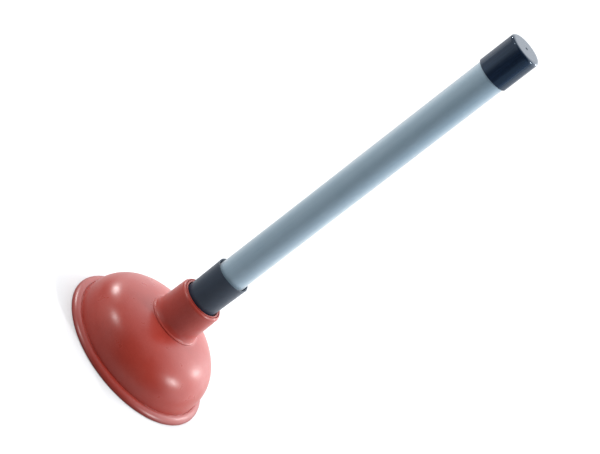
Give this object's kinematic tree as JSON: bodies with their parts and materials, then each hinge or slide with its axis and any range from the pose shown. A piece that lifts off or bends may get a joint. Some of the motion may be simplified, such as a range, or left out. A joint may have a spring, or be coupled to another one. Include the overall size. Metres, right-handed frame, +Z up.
{
  "type": "toilet plunger",
  "caption": "Toilet plunger with a flexible domed rubber force cup, pressed and sprung against its lip, on a straight sleeved tube handle with a ferrule and an end cap.",
  "frame": {"origin": "centre of the flat ring under the cup's lip, on the surface that the plunger stands on", "axes": "+Z up along the handle, from the cup to the end cap; the plunger is a body of revolution, so X and Y are free"},
  "size_m": [0.1166, 0.1166, 0.3354],
  "materials": {
    "cup_rubber": "satin red-brown moulded rubber",
    "ferrule_plastic": "satin dark blue-grey moulded plastic",
    "tube_steel": "plain drawn steel tube, under the sleeve",
    "sleeve_plastic": "satin grey-blue plastic sleeve",
    "plug_plastic": "plain natural plastic",
    "cap_plastic": "glossy near-black plastic",
    "screw_steel": "zinc-plated",
    "washer_steel": "zinc-plated"
  },
  "bodies": {
    "cup": {"rubber_cup": "cup_rubber"},
    "hub": {"retaining_washer": "washer_steel"},
    "handle": {"ferrule": "ferrule_plastic", "handle_tube": "tube_steel", "tube_sleeve": "sleeve_plastic", "tube_plug": "plug_plastic", "end_cap": "cap_plastic", "retaining_screw": "screw_steel"}
  },
  "joints": [
    {"name": "cup_press", "type": "slide", "parent": "cup", "child": "hub", "axis": [0, 0, -1], "range_m": [-0.004, 0.016], "stiffness_N_per_m": 4000, "deforming": ["rubber_cup"]},
    {"name": "handle_swivel", "type": "hinge", "parent": "hub", "child": "handle", "pos_m": [0, 0, 0.038], "axis": [0, 0, 1], "continuous": true}
  ]
}
